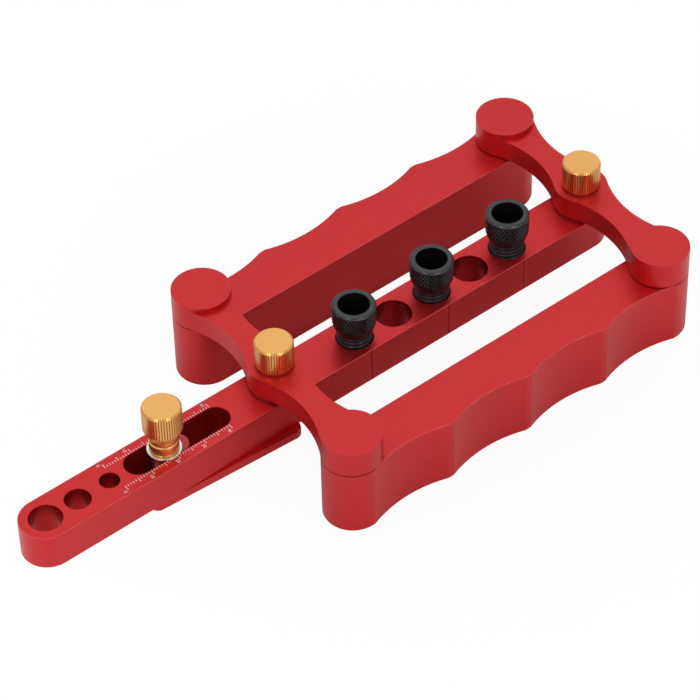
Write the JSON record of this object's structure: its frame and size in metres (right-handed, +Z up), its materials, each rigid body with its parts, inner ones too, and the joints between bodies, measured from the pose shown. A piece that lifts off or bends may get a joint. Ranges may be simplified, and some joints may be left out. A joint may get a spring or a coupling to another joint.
{
  "type": "self centering doweling jig",
  "caption": "Parallelogram doweling jig: scalloped side rails on three-lobed links centre a bar of screw-in drill bushes; slotted arm with a sliding stop.",
  "frame": {"origin": "axis of the middle drill bush at the bar's underside, the drilling datum: the bore's lower mouth", "axes": "+X along the bar away from the slotted arm, +Y towards the left rail, +Z up, the way a drill bit leaves its bush"},
  "size_m": [0.2367, 0.0992, 0.0417],
  "materials": {
    "red_anodised": "bead blasted, red anodised",
    "gold_anodised": "turned and knurled, gold anodised",
    "blackened_steel": "black oxide, satin",
    "bright_steel": "plain turned steel"
  },
  "bodies": {
    "bar": {"centre_bar": "red_anodised", "front_spacer": "bright_steel", "rear_spacer": "bright_steel"},
    "left_rail": {"left_rail": "red_anodised"},
    "right_rail": {"right_rail": "red_anodised"},
    "front_bush": {"front_bush": "blackened_steel"},
    "middle_bush": {"middle_bush": "blackened_steel"},
    "rear_bush": {"rear_bush": "blackened_steel"},
    "stop_carriage": {"stop_stud": "bright_steel"},
    "stop_plate": {"stop_plate": "red_anodised"},
    "arm_washer": {"arm_washer": "bright_steel"},
    "arm_knob": {"arm_knob": "gold_anodised"},
    "front_link": {"front_link": "red_anodised", "front_left_pivot_screw": "bright_steel", "front_left_rail_washer": "bright_steel", "front_right_pivot_screw": "bright_steel", "front_right_rail_washer": "bright_steel"},
    "front_knob_washer": {"front_knob_washer": "bright_steel"},
    "front_knob": {"front_knob": "gold_anodised", "front_knob_stud": "bright_steel"},
    "rear_link": {"rear_link": "red_anodised", "rear_left_pivot_screw": "bright_steel", "rear_left_rail_washer": "bright_steel", "rear_right_pivot_screw": "bright_steel", "rear_right_rail_washer": "bright_steel"},
    "rear_knob_washer": {"rear_knob_washer": "bright_steel"},
    "rear_knob": {"rear_knob": "gold_anodised", "rear_knob_stud": "bright_steel"}
  },
  "joints": [
    {"name": "front_link_turn", "type": "hinge", "parent": "bar", "child": "front_link", "pos_m": [-0.064, 0, 0.014], "axis": [0, 0, 1], "range_deg": [-54.7, 64.8]},
    {"name": "rear_link_turn", "type": "hinge", "parent": "bar", "child": "rear_link", "pos_m": [0.064, 0, 0.014], "axis": [0, 0, 1], "range_deg": [-54.7, 64.8]},
    {"name": "left_rail_turn", "type": "hinge", "parent": "front_link", "child": "left_rail", "pos_m": [-0.06205, 0.03995, 0.0136], "axis": [0, 0, 1], "range_deg": [-64.8, 54.7]},
    {"name": "right_rail_turn", "type": "hinge", "parent": "front_link", "child": "right_rail", "pos_m": [-0.06595, -0.03995, 0.0136], "axis": [0, 0, 1], "range_deg": [-64.8, 54.7]},
    {"name": "front_knob_lift", "type": "slide", "parent": "bar", "child": "front_knob_washer", "axis": [0, 0, 1], "range_m": [0, 0.003]},
    {"name": "front_knob_spin", "type": "hinge", "parent": "front_knob_washer", "child": "front_knob", "pos_m": [-0.064, 0, 0.0221], "axis": [0, 0, 1], "range_deg": [0, 1080]},
    {"name": "rear_knob_lift", "type": "slide", "parent": "bar", "child": "rear_knob_washer", "axis": [0, 0, 1], "range_m": [0, 0.003]},
    {"name": "rear_knob_spin", "type": "hinge", "parent": "rear_knob_washer", "child": "rear_knob", "pos_m": [0.064, 0, 0.0221], "axis": [0, 0, 1], "range_deg": [0, 1080]},
    {"name": "arm_knob_lift", "type": "slide", "parent": "stop_carriage", "child": "arm_washer", "axis": [0, 0, 1], "range_m": [0, 0.003]},
    {"name": "arm_knob_spin", "type": "hinge", "parent": "arm_washer", "child": "arm_knob", "pos_m": [-0.1076, 0, 0.0135], "axis": [0, 0, 1], "range_deg": [0, 1080]},
    {"name": "front_bush_lift", "type": "slide", "parent": "bar", "child": "front_bush", "axis": [0, 0, 1], "range_m": [0, 0.0135]},
    {"name": "middle_bush_lift", "type": "slide", "parent": "bar", "child": "middle_bush", "axis": [0, 0, 1], "range_m": [0, 0.0135]},
    {"name": "rear_bush_lift", "type": "slide", "parent": "bar", "child": "rear_bush", "axis": [0, 0, 1], "range_m": [-0.0007, 0.0128]},
    {"name": "stop_slide", "type": "slide", "parent": "bar", "child": "stop_carriage", "axis": [1, 0, 0], "range_m": [-0.0098, 0.0157]},
    {"name": "stop_swing", "type": "hinge", "parent": "stop_carriage", "child": "stop_plate", "pos_m": [-0.1076, 0, -0.003], "axis": [0, 0, 1], "range_deg": [0, 3.44]}
  ],
  "couplings": [
    {"joint": "rear_link_turn", "follows": "front_link_turn", "ratio": 1},
    {"joint": "left_rail_turn", "follows": "front_link_turn", "ratio": -1},
    {"joint": "right_rail_turn", "follows": "front_link_turn", "ratio": -1},
    {"joint": "front_knob_lift", "follows": "front_knob_spin", "m_per_rad": 0.00015915},
    {"joint": "rear_knob_lift", "follows": "rear_knob_spin", "m_per_rad": 0.00015915},
    {"joint": "arm_knob_lift", "follows": "arm_knob_spin", "m_per_rad": 0.00015915}
  ]
}
